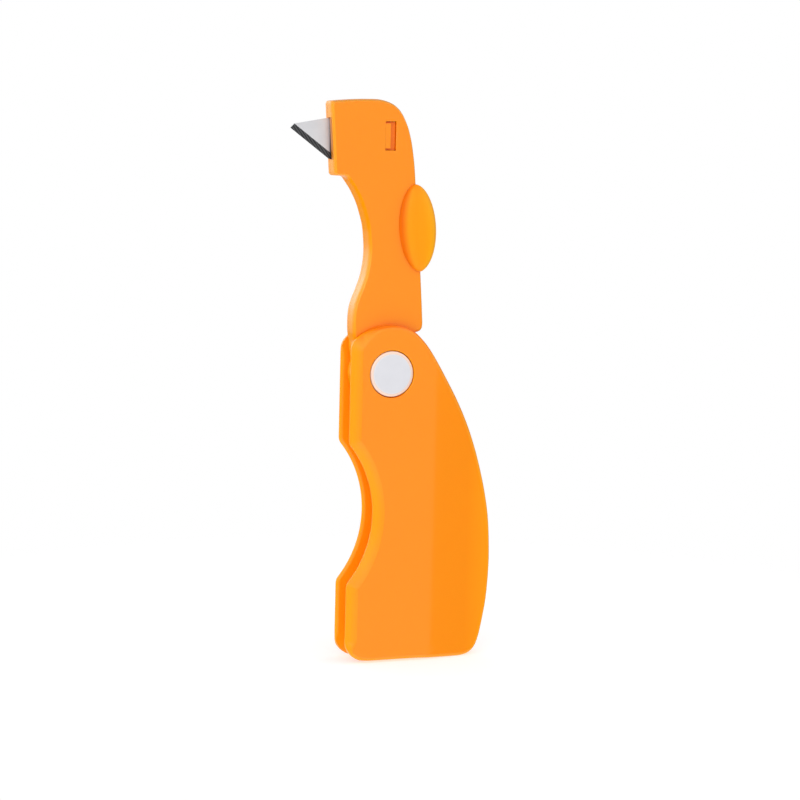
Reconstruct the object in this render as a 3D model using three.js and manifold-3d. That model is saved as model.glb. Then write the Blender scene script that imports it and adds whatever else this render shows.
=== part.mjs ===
// Folding pocket deburring tool for plastic pipe.
//
// A two-shell handle with an open front slot carries a goose-necked arm that folds into it on one
// large-headed pivot. The arm is two shells closed over a small steel blade, held by a snap-in
// holder. An oval thumb pad straddles the arm's back edge and nests in the handle's finger
// scallop when the tool is folded.
//
// Frame, in millimetres: origin at the centre of the pivot cap's outer face on the near side,
// +Z up along the handle towards the head with the tool open, +X towards the tool's back (spine),
// -X towards its front (blade and slot), +Y towards the far side. Pieces are drawn about the
// middle of the handle's thickness; their two groups then stand half a thickness along +Y.
// Where a function takes a side, -1 is the near shell and 1 the far one.

import * as THREE from "three";
import { mergeVertices } from "three/addons/utils/BufferGeometryUtils.js";
import Module from "manifold-3d";

const wasm = await Module();
wasm.setup();

// ---------------------------------------------------------------- driving dimensions
const HANDLE_HALF = 5.7; // half of the handle's thickness
const HANDLE_RIM = { inset: 1.5, depth: 1.3 }; // rounding of the outer rim
const SLOT_HALF = 3.3; // half of the slot between the handle walls
const SEAM_GAP = 0.05; // each handle shell stops this far from the parting plane
const SPINE_WALL = 2.2; // spine and bottom wall
const BEVEL_X = 13.0; // where the back bevel of the handle faces starts
const BEVEL_DEG = 8.0;
const CAVITY_BEVEL_SHIFT = 1.6; // the slot's own bevel starts this much further back

const ARM_HALF = 3.0; // half of the arm's thickness
const ARM_RIM = { inset: 0.6, depth: 0.55 };
const ARM_SEAM = 0.75; // Y of the parting plane of the arm shells
const ARM_SEAM_GAP = 0.03; // each arm shell stops this far from it
const TANG_RADIUS = 10.4; // round of the tang about the pivot
const STOP_DEG = 57; // direction of the tang's shoulder face
const FOLD_DEG = 177; // travel of the arm from open to folded
const DETENT = { deg: -24, halfDeg: 5.2, depth: 0.7 }; // notch where the spring's nose bears

const PIVOT = {
  headRadius: 6.15,
  headThickness: 1.5,
  sleeveRadius: 3.5,
  sleeveEndY: 4.0,
  barrelFloorY: -3.2, // closed end of the barrel's bore
  shankRadius: 1.95,
  shankTipY: -2.6,
  boreClearance: 0.1,
};
const PIVOT_SINK_RADIUS = 6.35; // recess in the handle faces round the pivot heads
const WASHER = { inner: 3.62, outer: 6.0, y0: 2.55, y1: 3.2 };

const HANDLE_SCREWS = [
  { name: "handle_screw_upper", x: 20.9, z: -17.2 },
  { name: "handle_screw_middle", x: 15.6, z: -40.5 },
  { name: "handle_screw_lower", x: 23.6, z: -73.2 },
];
const ARM_SCREWS = [
  { name: "arm_screw_upper", x: 0.6, z: 52.4 },
  { name: "arm_screw_lower", x: -0.4, z: 19.6 },
];
const HANDLE_SCREW = {
  headRadius: 2.6, headThickness: 1.7, shankRadius: 1.2, tipY: -2.8, crossHalf: 0.42,
};
const ARM_SCREW = {
  headRadius: 1.95, headThickness: 1.05, shankRadius: 0.78, tipY: -1.8, crossHalf: 0.32,
};
const ARM_SCREW_TOP = 2.85;
const STOP_PIN = { x: 11.5, z: -15.0, radius: 1.5, half: 4.5 };
const ANCHOR_PIN = { x: 17.0, z: -29.0, radius: 1.2, half: 4.1 };

// Cutters run this far past what they cut.
const BEYOND = 30;
const THROUGH = [-BEYOND, BEYOND];
const WHOLE = [-120, 120]; // spans the full outline of either shell

// ---------------------------------------------------------------- materials
const ORANGE = 0xff8c1a;
const MATERIALS = {
  shell: { color: ORANGE, roughness: 0.32, metalness: 0 },
  holder: { color: ORANGE, roughness: 0.4, metalness: 0 },
  latch: { color: ORANGE, roughness: 0.35, metalness: 0 },
  pad: { color: 0xff9b12, roughness: 0.3, metalness: 0 },
  pivot: { color: 0xe0e0e6, roughness: 0.35, metalness: 0.2 },
  acetal: { color: 0xf0efe8, roughness: 0.5, metalness: 0 },
  steel: { color: 0xc9ccd0, roughness: 0.3, metalness: 1 },
  springSteel: { color: 0x9aa0a6, roughness: 0.35, metalness: 1 },
};

// ---------------------------------------------------------------- points
const rad = (deg) => (deg * Math.PI) / 180;
const polar = (radius, deg, x = 0, z = 0) => [
  x + radius * Math.cos(rad(deg)),
  z + radius * Math.sin(rad(deg)),
];
const toVectors = (points) => points.map(([x, y]) => new THREE.Vector2(x, y));

function arc(x, z, radius, from, to, steps) {
  const points = [];
  for (let i = 0; i <= steps; i++) points.push(polar(radius, from + ((to - from) * i) / steps, x, z));
  return points;
}

function spline(points, steps) {
  const curve = new THREE.SplineCurve(toVectors(points));
  return curve.getSpacedPoints(steps).map((p) => [p.x, p.y]);
}

// Point i of a line, moved by `distance` to the left of the line's direction.
function leftOf(line, i, distance) {
  const before = line[Math.max(0, i - 1)];
  const after = line[Math.min(line.length - 1, i + 1)];
  const dx = after[0] - before[0];
  const dz = after[1] - before[1];
  const scale = distance / Math.hypot(dx, dz);
  return [line[i][0] - dz * scale, line[i][1] + dx * scale];
}

// A Y range given outwards from the middle plane, laid on one side of it.
const spanY = (side, from, to) => (side < 0 ? [-to, -from] : [from, to]);

// ---------------------------------------------------------------- solids
// A closed three.js geometry as a solid.
function solid(geometry) {
  const plain = geometry.index ? geometry.toNonIndexed() : geometry.clone();
  for (const name of Object.keys(plain.attributes)) {
    if (name !== "position") plain.deleteAttribute(name);
  }
  const merged = mergeVertices(plain, 1e-5);
  const index = merged.index.array;
  const triangles = [];
  for (let i = 0; i < index.length; i += 3) {
    const [a, b, c] = index.subarray(i, i + 3);
    if (a !== b && b !== c && a !== c) triangles.push(a, b, c);
  }
  return new wasm.Manifold(
    new wasm.Mesh({
      numProp: 3,
      vertProperties: merged.attributes.position.array,
      triVerts: new Uint32Array(triangles),
    }),
  );
}

// Extrudes an outline drawn in XZ; the depth runs towards -Y from `startY`.
function extrudeXZ(points, holes, startY, options) {
  const shape = new THREE.Shape(toVectors(points));
  for (const hole of holes) shape.holes.push(new THREE.Path(toVectors(hole)));
  const geometry = new THREE.ExtrudeGeometry(shape, options);
  geometry.rotateX(Math.PI / 2);
  geometry.translate(0, startY, 0);
  return solid(geometry);
}

function prism(points, [y0, y1], holes = []) {
  return extrudeXZ(points, holes, y1, { depth: y1 - y0, bevelEnabled: false });
}

// A plate about Y = 0 with both rims rounded.
function roundedPlate(points, half, rim) {
  return extrudeXZ(points, [], half - rim.depth, {
    depth: 2 * half - 2 * rim.depth,
    bevelEnabled: true,
    bevelThickness: rim.depth,
    bevelSize: rim.inset,
    bevelOffset: -rim.inset,
    bevelSegments: 3,
  });
}

function boxGeometry([x0, x1], [y0, y1], [z0, z1]) {
  const geometry = new THREE.BoxGeometry(x1 - x0, y1 - y0, z1 - z0);
  return geometry.translate((x0 + x1) / 2, (y0 + y1) / 2, (z0 + z1) / 2);
}
const box = (xs, ys, zs) => solid(boxGeometry(xs, ys, zs));

// A round bar along Y.
function barY({ x, z }, radius, [y0, y1], segments) {
  const geometry = new THREE.CylinderGeometry(radius, radius, y1 - y0, segments);
  return solid(geometry.translate(x, (y0 + y1) / 2, z));
}
const AXIS = { x: 0, z: 0 }; // the pivot's axis

// A piece turned about an axis along Y, from a profile of [radius, y].
function turned(profile, segments, { x, z } = AXIS) {
  const geometry = new THREE.LatheGeometry(toVectors(profile), segments);
  return solid(geometry.translate(x, 0, z));
}

// ---------------------------------------------------------------- handle outline
// All outline tables are [x, z]; each outline runs clockwise with X right and Z up.
const FRONT_X = -11.25; // front edge of the handle
const topArc = spline(
  [
    [FRONT_X, 6.6], [-11.0, 7.8], [-10.1, 9.1], [-8.9, 10.15], [-7.4, 11.05], [-5.0, 12.1],
    [-2.5, 12.75], [0.4, 13.0], [3.5, 12.6], [5.7, 11.75], [7.4, 10.6],
  ],
  18,
);
const backEdge = spline(
  [
    [7.4, 10.6], [9.0, 9.0], [10.45, 7.35], [12.8, 4.0], [15.9, -0.9], [19.85, -7.5],
    [23.2, -14.15], [25.85, -20.8], [28.0, -27.6], [29.7, -34.3], [30.85, -41.0],
    [31.4, -49.0], [31.4, -55.5], [30.85, -62.9], [30.0, -67.9], [29.0, -72.6],
  ],
  30,
);
const bottomBack = spline([[29.0, -72.6], [27.7, -76.1], [25.6, -78.05], [22.6, -78.65]], 6);
const bottomFront = spline(
  [[-4.6, -78.1], [-7.6, -77.75], [-9.7, -76.4], [-10.9, -74.6], [FRONT_X, -72.4]],
  6,
);
// Finger scallop: an arc that meets the front edge at both ends.
const SCALLOP = { x: -33.1, z: -37.9, radius: 29.0 };
const scallopHalfDeg = (Math.acos((FRONT_X - SCALLOP.x) / SCALLOP.radius) * 180) / Math.PI;
const handleOutline = [
  ...topArc,
  ...backEdge.slice(1),
  ...bottomBack.slice(1),
  [8, -78.15],
  ...bottomFront,
  ...arc(SCALLOP.x, SCALLOP.z, SCALLOP.radius, -scallopHalfDeg, scallopHalfDeg, 22),
];

// Inner line of the spine and bottom wall, from the end of the top arc to the start of the
// bottom's front corner.
const innerWall = handleOutline
  .map((_, i) => leftOf(handleOutline, i, -SPINE_WALL))
  .slice(topArc.length - 1, topArc.length + backEdge.length + bottomBack.length);
const CAVITY_STOP_DEG = STOP_DEG - 1.0;
// The cavity is open at the front, bottom front and top.
const cavityOutline = [
  [-40, 40],
  polar(30, CAVITY_STOP_DEG),
  polar(10.75, CAVITY_STOP_DEG),
  ...innerWall.filter(([x, z]) => Math.atan2(z, x) < rad(STOP_DEG - 2.2)),
  [-4.6, -90],
  [-40, -90],
];

// ---------------------------------------------------------------- handle shells
// Everything beyond the plane that slopes inwards from (startX, startY) to bevel a face's back.
function bevelWedge(side, startX, startY) {
  const geometry = boxGeometry([0, 60], spanY(side, 0, 20), WHOLE);
  geometry.rotateZ(-side * rad(BEVEL_DEG));
  return solid(geometry.translate(startX, side * startY, -30));
}

// Distance of the handle's bevelled face from the middle plane.
const faceY = (x) => HANDLE_HALF - Math.max(0, x - BEVEL_X) * Math.tan(rad(BEVEL_DEG));

function handleShell(side) {
  let shell = roundedPlate(handleOutline, HANDLE_HALF, HANDLE_RIM)
    .intersect(box(WHOLE, spanY(side, SEAM_GAP, BEYOND), WHOLE))
    .subtract(bevelWedge(side, BEVEL_X, HANDLE_HALF));
  // slot for the folded arm, narrowing under the bevel so that the wall keeps its thickness
  const cavity = prism(cavityOutline, spanY(side, -1, SLOT_HALF))
    .subtract(bevelWedge(side, BEVEL_X + CAVITY_BEVEL_SHIFT, SLOT_HALF));
  shell = shell.subtract(cavity);
  for (const place of HANDLE_SCREWS) {
    const face = faceY(place.x);
    shell = shell.add(barY(place, 2.9, spanY(side, SEAM_GAP, face - 1.0), 24)); // boss
    if (side < 0) {
      shell = shell.subtract(barY(place, 1.3, [-3.0, BEYOND], 16)); // blind pilot hole
    } else {
      shell = shell.subtract(barY(place, 1.6, THROUGH, 16));
      shell = shell.subtract(barY(place, 2.75, [face - 2.3, BEYOND], 28)); // counterbore
    }
  }
  for (const pin of [STOP_PIN, ANCHOR_PIN]) {
    shell = shell.subtract(barY(pin, pin.radius + 0.06, spanY(side, 0, pin.half + 0.1), 20));
  }
  const sinkFloor = HANDLE_HALF - PIVOT.headThickness - 0.1;
  return shell
    .subtract(barY(AXIS, PIVOT.sleeveRadius + 0.08, THROUGH, 40))
    .subtract(barY(AXIS, PIVOT_SINK_RADIUS, spanY(side, sinkFloor, BEYOND), 48));
}

// ---------------------------------------------------------------- arm outline
const headTop = spline([[-17.82, 72.0], [-14.0, 72.4], [-9.8, 72.7], [-6.4, 72.8]], 4);
const headBack = spline(
  [
    [-6.4, 72.8], [-4.0, 72.75], [-1.8, 72.3], [0.2, 71.45], [1.85, 70.05], [3.0, 68.4],
    [3.8, 66.8], [4.5, 65.1], [5.35, 62.0], [5.95, 58.8], [6.4, 55.6], [6.7, 52.5],
  ],
  15,
);
const armBack = spline(
  [
    [6.7, 52.5], [7.25, 46.0], [7.9, 38.7], [8.65, 30.0], [9.15, 23.6], [9.6, 17.2],
    [9.85, 13.3],
  ],
  8,
);
const armCorner = spline([[9.85, 13.3], [9.65, 11.95], [8.9, 11.1], [7.75, 10.8]], 4);
const neckFront = spline(
  [
    [-9.85, 6.4], [-9.82, 8.8], [-10.2, 10.4], [-10.35, 13.6], [-10.15, 16.9], [-9.45, 19.6],
    [-8.15, 22.8], [-7.05, 26.0], [-6.35, 29.7], [-6.15, 33.0], [-6.35, 36.2], [-6.75, 39.4],
    [-7.65, 42.6], [-8.8, 45.75], [-10.5, 48.9], [-11.7, 50.6], [-13.0, 52.35],
  ],
  22,
);

// Clockwise from the shoulder face round the bottom to the front edge, with a detent notch for
// the open and the folded position.
function tangArc() {
  const notches = [DETENT.deg, DETENT.deg - FOLD_DEG];
  const degrees = [];
  for (let deg = STOP_DEG; deg >= -199; deg -= 4) degrees.push(deg);
  for (const notch of notches) {
    for (const part of [-1, -0.5, 0, 0.5, 1]) degrees.push(notch + part * DETENT.halfDeg);
  }
  degrees.sort((a, b) => b - a);
  // drop directions that crowd the one before
  const spaced = degrees.filter((deg, i) => i === 0 || degrees[i - 1] - deg > 0.9);
  return spaced.map((deg) => {
    const away = Math.min(...notches.map((notch) => Math.abs(deg - notch)));
    const inNotch = away < DETENT.halfDeg;
    const depth = inNotch ? DETENT.depth * Math.cos(rad(90 * (away / DETENT.halfDeg))) : 0;
    return polar(TANG_RADIUS - depth, deg);
  });
}

const armOutline = [
  ...headTop,
  ...headBack.slice(1),
  ...armBack.slice(1),
  ...armCorner.slice(1),
  polar(12.9, STOP_DEG),
  ...tangArc(),
  ...neckFront,
  [-16.45, 52.5],
];

// ---------------------------------------------------------------- thumb pad
// Centre on the arm's back edge, radii, and lean of the top towards the front.
const PAD = { x: 7.8, z: 38.65, radii: [6.05, 5.7, 12.0], leanDeg: 4.6 };

// A geometry drawn in the pad's own leaning frame, put in place.
function placeOnPad(geometry) {
  geometry.rotateY(-rad(PAD.leanDeg));
  return solid(geometry.translate(PAD.x, 0, PAD.z));
}
const padBox = (xs, ys, zs) => placeOnPad(boxGeometry(xs, ys, zs));

function thumbPad() {
  const oval = new THREE.SphereGeometry(1, 36, 24);
  oval.rotateX(Math.PI / 2);
  oval.scale(...PAD.radii);
  const armSlotHalf = ARM_HALF + 0.1;
  return placeOnPad(oval)
    .subtract(padBox([-BEYOND, 0.18], [-armSlotHalf, armSlotHalf], THROUGH))
    .add(padBox([-2.35, 1.4], [-1.2, 1.2], [-4.0, 4.0])); // tongue
}

// ---------------------------------------------------------------- blade group
const POCKET = { x: [-BEYOND, 1.6], floorY: -2.05, z: [56.7, 67.6] }; // blade holder pocket
const HOLDER_Z = [POCKET.z[0] + 0.15, POCKET.z[1] - 0.15];
const LATCH_Z = [60.0, 66.4];
const LATCH_ROOT = { x: -8.9, y: -1.45, radius: 0.5 }; // rounded root of the latch finger
const aroundLatch = (gap) => [LATCH_Z[0] - gap, LATCH_Z[1] + gap];
const PEGS = [{ x: -14.2, z: 61.4 }, { x: -11.2, z: 65.2 }];

// Blade outline [x, z]; the cutting edge joins the last point to the first.
const BLADE = [
  [-28.0, 64.7], [-27.0, 65.8], [-18.0, HOLDER_Z[1]], [-6.0, HOLDER_Z[1]],
  [-6.0, HOLDER_Z[0]], [-17.2, HOLDER_Z[0]],
];
const BLADE_Y = 0.1; // near face of the blade
const BLADE_THICKNESS = 0.6;
const EDGE = { half: 0.04, bevelWidth: 1.5 }; // half thickness at the edge, width of the grind

function blade() {
  const holes = PEGS.map(({ x, z }) => arc(x, z, 1.05, 0, 360, 16).slice(0, -1));
  let result = prism(BLADE, [BLADE_Y, BLADE_Y + BLADE_THICKNESS], holes);
  // ground bevels along the cutting edge
  const [x0, z0] = BLADE[0];
  const [x1, z1] = BLADE[BLADE.length - 1];
  const bevel = Math.atan2(BLADE_THICKNESS / 2 - EDGE.half, EDGE.bevelWidth);
  for (const side of [-1, 1]) {
    const grind = new THREE.BoxGeometry(40, 2, 4); // X along the edge, Z across it
    grind.translate(0, side, 0);
    grind.rotateX(-side * bevel);
    grind.translate(0, side * EDGE.half, 0);
    grind.rotateY(-Math.atan2(z1 - z0, x1 - x0));
    grind.translate((x0 + x1) / 2, BLADE_Y + BLADE_THICKNESS / 2, (z0 + z1) / 2);
    result = result.subtract(solid(grind));
  }
  return result;
}

function bladeHolder() {
  let holder = box([-16.9, -1.0], [-1.95, 0.02], HOLDER_Z)
    .subtract(box([LATCH_ROOT.x - 0.65, BEYOND], THROUGH, aroundLatch(0.15)))
    // sloping front that follows the head's front face
    .subtract(prism([[-30, 80], [-30, 50], [-15.4, 50], [-16.9, 80]], THROUGH));
  for (const peg of PEGS) holder = holder.add(barY(peg, 0.95, [-0.5, 0.62], 16));
  return holder;
}

// Drawn in XY and extruded along Z.
function latchFinger() {
  const outline = [
    ...arc(LATCH_ROOT.x, LATCH_ROOT.y, LATCH_ROOT.radius, 90, 270, 6),
    [-2.25, -1.95], [-2.25, -2.8], [-0.85, -2.8], [0.35, -1.95], [0.35, -1.35], [-1.0, -0.95],
  ];
  const geometry = new THREE.ExtrudeGeometry(new THREE.Shape(toVectors(outline)), {
    depth: LATCH_Z[1] - LATCH_Z[0],
    bevelEnabled: false,
  });
  return solid(geometry.translate(0, 0, LATCH_Z[0]));
}

// ---------------------------------------------------------------- arm shells
// Core-outs that keep the moulding's wall even, [x, z].
const CORE_OUTS = [
  [[-3.9, 25.2], [4.9, 25.2], [4.6, 33.6], [-3.4, 33.6]],
  [[-3.3, 43.8], [3.6, 43.8], [3.3, 48.6], [-5.6, 48.6]],
];

function armShell(side) {
  const halfY = side < 0
    ? [-BEYOND, ARM_SEAM - ARM_SEAM_GAP]
    : [ARM_SEAM + ARM_SEAM_GAP, BEYOND];
  const shell = roundedPlate(armOutline, ARM_HALF, ARM_RIM)
    .intersect(box(WHOLE, halfY, WHOLE))
    .subtract(barY(AXIS, PIVOT.sleeveRadius + 0.1, THROUGH, 40))
    .subtract(barY(AXIS, 6.2, spanY(side, 2.5, BEYOND), 48)) // washer recess
    .subtract(padBox([-2.6, 1.2], [-1.35, 1.35], [-4.2, 4.2])); // slot for the pad's tongue
  return side < 0 ? cutNearArm(shell) : cutFarArm(shell);
}

// Blade pocket, latch window, core-outs and pilot holes.
function cutNearArm(blank) {
  let shell = blank
    .subtract(box(POCKET.x, [POCKET.floorY, BEYOND], POCKET.z))
    .subtract(box([-2.45, 0.6], [-BEYOND, -1], aroundLatch(0.6)));
  for (const outline of CORE_OUTS) shell = shell.subtract(prism(outline, [-1.2, BEYOND]));
  for (const place of ARM_SCREWS) shell = shell.subtract(barY(place, 0.85, [-1.9, BEYOND], 12));
  return shell;
}

// Counterbored screw holes.
function cutFarArm(blank) {
  let shell = blank;
  for (const place of ARM_SCREWS) {
    shell = shell.subtract(barY(place, 1.1, THROUGH, 12));
    shell = shell.subtract(barY(place, 2.1, [1.75, BEYOND], 24));
  }
  return shell;
}

// ---------------------------------------------------------------- pivot
// Profile of a pivot head, from the centre of its outer face round the eased rim.
function pivotHead(side) {
  const { headRadius, headThickness } = PIVOT;
  return [
    [0, 0], [headRadius - 0.45, 0], [headRadius - 0.12, 0.14], [headRadius, 0.45],
    [headRadius, headThickness],
  ].map(([radius, depth]) => [radius, side * (HANDLE_HALF - depth)]);
}

function pivotBarrel() {
  const boreRadius = PIVOT.shankRadius + PIVOT.boreClearance;
  return turned([
    ...pivotHead(-1),
    [PIVOT.sleeveRadius, PIVOT.headThickness - HANDLE_HALF],
    [PIVOT.sleeveRadius, PIVOT.sleeveEndY],
    [boreRadius, PIVOT.sleeveEndY],
    [boreRadius, PIVOT.barrelFloorY],
    [0, PIVOT.barrelFloorY],
  ], 48);
}

function pivotScrew() {
  const { shankRadius, shankTipY } = PIVOT;
  const hexSocket = barY(AXIS, 2.3, [HANDLE_HALF - 1.0, HANDLE_HALF + 2], 6);
  return turned([
    [0, shankTipY],
    [shankRadius - 0.3, shankTipY],
    [shankRadius, shankTipY + 0.4],
    [shankRadius, HANDLE_HALF - PIVOT.headThickness],
    ...pivotHead(1).reverse(),
  ], 48).subtract(hexSocket);
}

function washer(side) {
  const { inner, outer } = WASHER;
  const [y0, y1] = spanY(side, WASHER.y0, WASHER.y1);
  return turned([[inner, y0], [outer, y0], [outer, y1], [inner, y1], [inner, y0]], 40);
}

// ---------------------------------------------------------------- screws, pins, spring
// A screw with its head towards +Y and a cross recess.
function screw(place, topY, { headRadius, headThickness, shankRadius, tipY, crossHalf }) {
  const underHead = topY - headThickness;
  const body = turned([
    [0, tipY], [shankRadius * 0.45, tipY], [shankRadius, tipY + 0.7], [shankRadius, underHead],
    [headRadius, underHead], [headRadius, topY - headThickness * 0.45],
    [headRadius * 0.72, topY], [0, topY],
  ], 24, place);
  const around = (centre, half) => [centre - half, centre + half];
  const crossLength = headRadius * 0.56;
  const recessY = [topY - headThickness * 0.6, BEYOND];
  return body
    .subtract(box(around(place.x, crossLength), recessY, around(place.z, crossHalf)))
    .subtract(box(around(place.x, crossHalf), recessY, around(place.z, crossLength)));
}

function dowel(pin) {
  const chamfer = 0.25;
  const { radius, half } = pin;
  return turned([
    [0, -half], [radius - chamfer, -half], [radius, -half + chamfer],
    [radius, half - chamfer], [radius - chamfer, half], [0, half],
  ], 20, pin);
}

function detentSpring() {
  const leafHalf = 0.4; // half of the leaf's thickness
  const width = [-2.5, 2.5];
  const nose = polar(TANG_RADIUS + 0.35 + leafHalf, DETENT.deg);
  const path = spline(
    [
      [12.6, -1.6], [11.3, -2.7], nose, [11.4, -7.0], [12.9, -10.2], [14.4, -14.6],
      [15.3, -19.0], [15.6, -23.5], [15.45, -27.4],
    ],
    34,
  );
  const left = path.map((_, i) => leftOf(path, i, leafHalf));
  const right = path.map((_, i) => leftOf(path, i, -leafHalf));
  // the leaf, an eye round the anchor pin, and a short tail
  return prism([...left, ...right.reverse()], width)
    .add(barY(ANCHOR_PIN, ANCHOR_PIN.radius + 0.95, width, 24))
    .add(prism([[17.6, -30.5], [18.4, -30.2], [19.7, -40.6], [18.9, -40.7]], width))
    .subtract(barY(ANCHOR_PIN, ANCHOR_PIN.radius + 0.12, THROUGH, 24));
}

// ---------------------------------------------------------------- scene graph
const tool = new THREE.Group();
tool.name = "folding_deburring_tool";

function addGroup(name) {
  const group = new THREE.Group();
  group.name = name;
  group.position.y = HANDLE_HALF;
  tool.add(group);
  return group;
}

function addPiece(group, name, shape, material) {
  const { numProp, numVert, vertProperties, triVerts } = shape.getMesh();
  const positions = new Float32Array(numVert * 3);
  for (let i = 0; i < numVert; i++) {
    positions.set(vertProperties.subarray(i * numProp, i * numProp + 3), i * 3);
  }
  const geometry = new THREE.BufferGeometry();
  geometry.setAttribute("position", new THREE.BufferAttribute(positions, 3));
  geometry.setIndex(new THREE.BufferAttribute(new Uint32Array(triVerts), 1));
  geometry.computeVertexNormals();
  const mesh = new THREE.Mesh(geometry, new THREE.MeshStandardMaterial(material));
  mesh.name = name;
  group.add(mesh);
}

const handle = addGroup("handle");
const arm = addGroup("arm");

addPiece(handle, "handle_shell_near", handleShell(-1), MATERIALS.shell);
addPiece(handle, "handle_shell_far", handleShell(1), MATERIALS.shell);
addPiece(handle, "pivot_barrel", pivotBarrel(), MATERIALS.pivot);
addPiece(handle, "pivot_screw", pivotScrew(), MATERIALS.pivot);
addPiece(handle, "pivot_washer_near", washer(-1), MATERIALS.acetal);
addPiece(handle, "pivot_washer_far", washer(1), MATERIALS.acetal);
for (const place of HANDLE_SCREWS) {
  // sunk below the sloping face, measured a little behind the screw's centre
  const topY = faceY(place.x + 1.2) - 0.35;
  addPiece(handle, place.name, screw(place, topY, HANDLE_SCREW), MATERIALS.steel);
}
addPiece(handle, "fold_stop_pin", dowel(STOP_PIN), MATERIALS.steel);
addPiece(handle, "spring_anchor_pin", dowel(ANCHOR_PIN), MATERIALS.steel);
addPiece(handle, "detent_spring", detentSpring(), MATERIALS.springSteel);

addPiece(arm, "arm_shell_near", armShell(-1), MATERIALS.shell);
addPiece(arm, "arm_shell_far", armShell(1), MATERIALS.shell);
addPiece(arm, "thumb_pad", thumbPad(), MATERIALS.pad);
for (const place of ARM_SCREWS) {
  addPiece(arm, place.name, screw(place, ARM_SCREW_TOP, ARM_SCREW), MATERIALS.steel);
}
addPiece(arm, "blade_holder", bladeHolder(), MATERIALS.holder);
addPiece(arm, "latch_finger", latchFinger(), MATERIALS.latch);
addPiece(arm, "blade", blade(), MATERIALS.steel);

export default tool;
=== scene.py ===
"""A folding safety cutter in orange plastic, standing open on the foot of its handle.

The pivot's axis is parallel to Y and passes through x = z = 0.  The handle hangs below the pivot
and the arm rises above it.  -X is the front, where the blade points and the handle's slot opens,
and +X is the back.  The near side faces -Y and the far side +Y.
"""
import math

import bmesh
import bpy
import numpy as np
from mathutils import Matrix, Vector
from mathutils.geometry import delaunay_2d_cdt


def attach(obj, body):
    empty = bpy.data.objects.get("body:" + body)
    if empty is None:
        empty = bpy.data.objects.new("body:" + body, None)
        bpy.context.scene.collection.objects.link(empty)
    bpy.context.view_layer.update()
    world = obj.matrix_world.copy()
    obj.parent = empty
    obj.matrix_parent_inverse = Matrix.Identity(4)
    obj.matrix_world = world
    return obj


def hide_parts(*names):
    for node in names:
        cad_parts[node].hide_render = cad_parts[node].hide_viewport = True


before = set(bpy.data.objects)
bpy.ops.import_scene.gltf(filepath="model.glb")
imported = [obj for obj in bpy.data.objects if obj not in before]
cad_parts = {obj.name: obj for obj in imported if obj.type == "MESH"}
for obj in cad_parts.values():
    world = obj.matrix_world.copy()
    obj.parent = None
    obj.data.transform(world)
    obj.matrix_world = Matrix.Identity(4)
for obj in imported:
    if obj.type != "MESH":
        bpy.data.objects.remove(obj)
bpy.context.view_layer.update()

# Lengths are millimetres about the middle of the handle's thickness, which stands at y = MID in the
# row frame.  mesh_object() moves a mesh there and to_metres() scales it.  Side is -1 near, +1 far.
MM = 0.001
MID = 5.7

HANDLE_HALF = 5.7  # half thicknesses
SLOT_HALF = 3.3
ARM_HALF = 3.0
ARM_SEAM = 0.75  # y of the joint between the arm's halves
SEAM_GAP_HALF = 0.03

BEVEL_X = 13.0  # behind this the handle's faces slope inwards
BEVEL_TAN = math.tan(math.radians(8.0))
STOP_DEG = 57  # direction from the pivot to the stop faces of arm and handle
DETENT_DEG = -24  # direction from the pivot to the spring's nose
FOLD_DEG = 177  # turn between the tang's two notches
PIVOT_SINK_R = 6.35
PIVOT_SINK_DEPTH = 1.5
CAP_R = 6.15
HANDLE_SINK_R = 2.75  # counterbores of the handle's and the arm's screws
ARM_SINK_R = 2.1
SINK_LIP = (0.0, 0.03, 0.08, 0.15)  # distances outside a sunk edge that get points of their own

# name, x, z
HANDLE_SCREWS = [
    ("handle_screw_upper", 20.9, -17.2),
    ("handle_screw_middle", 15.6, -40.5),
    ("handle_screw_lower", 23.6, -73.2),
]
ARM_SCREWS = [("arm_screw_upper", 0.6, 52.4), ("arm_screw_lower", -0.4, 19.6)]
# x, z, radius, half length
STOP_PIN = (11.5, -15.0, 1.5, 4.5)
ANCHOR_PIN = (17.0, -29.0, 1.2, 4.1)


# ------------------------------------------------------------------ plane curves (x, z)
def resample(path, step):
    lengths = np.linalg.norm(np.diff(path, axis=0), axis=1)
    along = np.concatenate([[0], np.cumsum(lengths)])
    count = max(2, int(round(along[-1] / step)) + 1)
    even = np.linspace(0, along[-1], count)
    return np.stack([np.interp(even, along, path[:, 0]), np.interp(even, along, path[:, 1])], 1)


def catmull(points, step):
    """The smooth curve through the points, at even steps along its length."""
    p = np.array(points, float)
    t = np.linspace(0, 1, 40, endpoint=False)[:, None]
    dense = []
    for i in range(len(p) - 1):
        p0, p1, p2, p3 = p[max(i - 1, 0)], p[i], p[i + 1], p[min(i + 2, len(p) - 1)]
        v0, v1 = (p2 - p0) / 2, (p3 - p1) / 2
        dense.append((2 * p1 - 2 * p2 + v0 + v1) * t**3
                     + (-3 * p1 + 3 * p2 - 2 * v0 - v1) * t**2 + v0 * t + p1)
    return resample(np.vstack(dense + [p[-1:]]), step)


def line(start, end, step=0.5):
    return resample(np.array([start, end], float), step)


def arc(cx, cz, radius, start_deg, end_deg, step=0.4):
    count = max(3, int(abs(math.radians(end_deg - start_deg)) * radius / step) + 1)
    t = np.radians(np.linspace(start_deg, end_deg, count))
    return np.stack([cx + radius * np.cos(t), cz + radius * np.sin(t)], 1)


def polar(radius, deg):
    return (radius * math.cos(math.radians(deg)), radius * math.sin(math.radians(deg)))


def disc_points(x, z, radius, count):
    t = np.linspace(0, 2 * math.pi, count, endpoint=False)
    return np.stack([x + radius * np.cos(t), z + radius * np.sin(t)], 1)


def disc_rings(x, z, radius, offsets, count):
    """Points on circles that stand the given offsets outside a radius."""
    return [tuple(p) for offset in offsets for p in disc_points(x, z, radius + offset, count)]


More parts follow.
